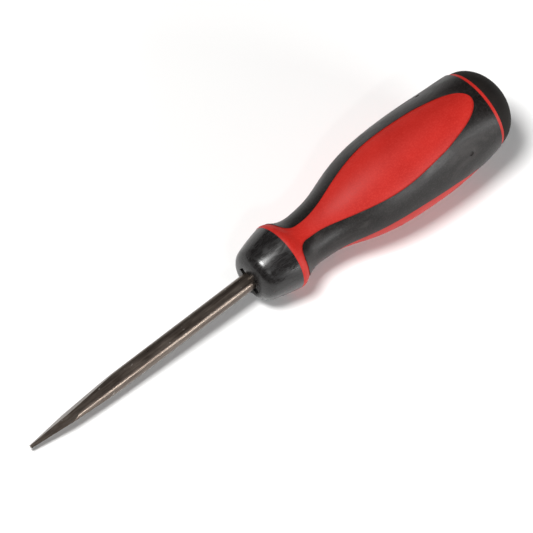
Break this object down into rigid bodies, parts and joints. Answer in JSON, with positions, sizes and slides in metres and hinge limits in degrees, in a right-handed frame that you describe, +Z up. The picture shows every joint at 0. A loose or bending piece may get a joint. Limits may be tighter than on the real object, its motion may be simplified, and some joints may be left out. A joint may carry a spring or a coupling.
{
  "type": "scratch awl",
  "caption": "Scratch awl: a round steel shank with a long faceted point, in a lobed red plastic handle with a black rubber grip, a flared nose and a domed butt.",
  "frame": {"origin": "On the floor under the middle of the tool as it lies on its belly and the edge of its nose: centre of the bounding box in X and Y, bottom of it in Z.", "axes": "+X runs along the tool towards the butt and the point is at -X, +Z is up, and +Y completes a right-handed frame. The tool's own axis lies in the XZ plane and drops 4.94 degrees towards the point."},
  "size_m": [0.2022, 0.0328, 0.0345],
  "materials": {
    "dark_steel": "dark phosphated, lightly oiled, faint grinding lines on the point",
    "gloss_black": "smooth moulded, glossy",
    "red_plastic": "fine moulded texture, satin",
    "black_rubber": "fine-grained, matte",
    "matte_black": "fine-grained, matte",
    "core_plastic": "moulded, plain"
  },
  "bodies": {
    "root": {"shank": "dark_steel", "nose": "gloss_black", "red_body": "red_plastic", "grip": "black_rubber", "cap": "matte_black", "core": "core_plastic"}
  },
  "joints": []
}
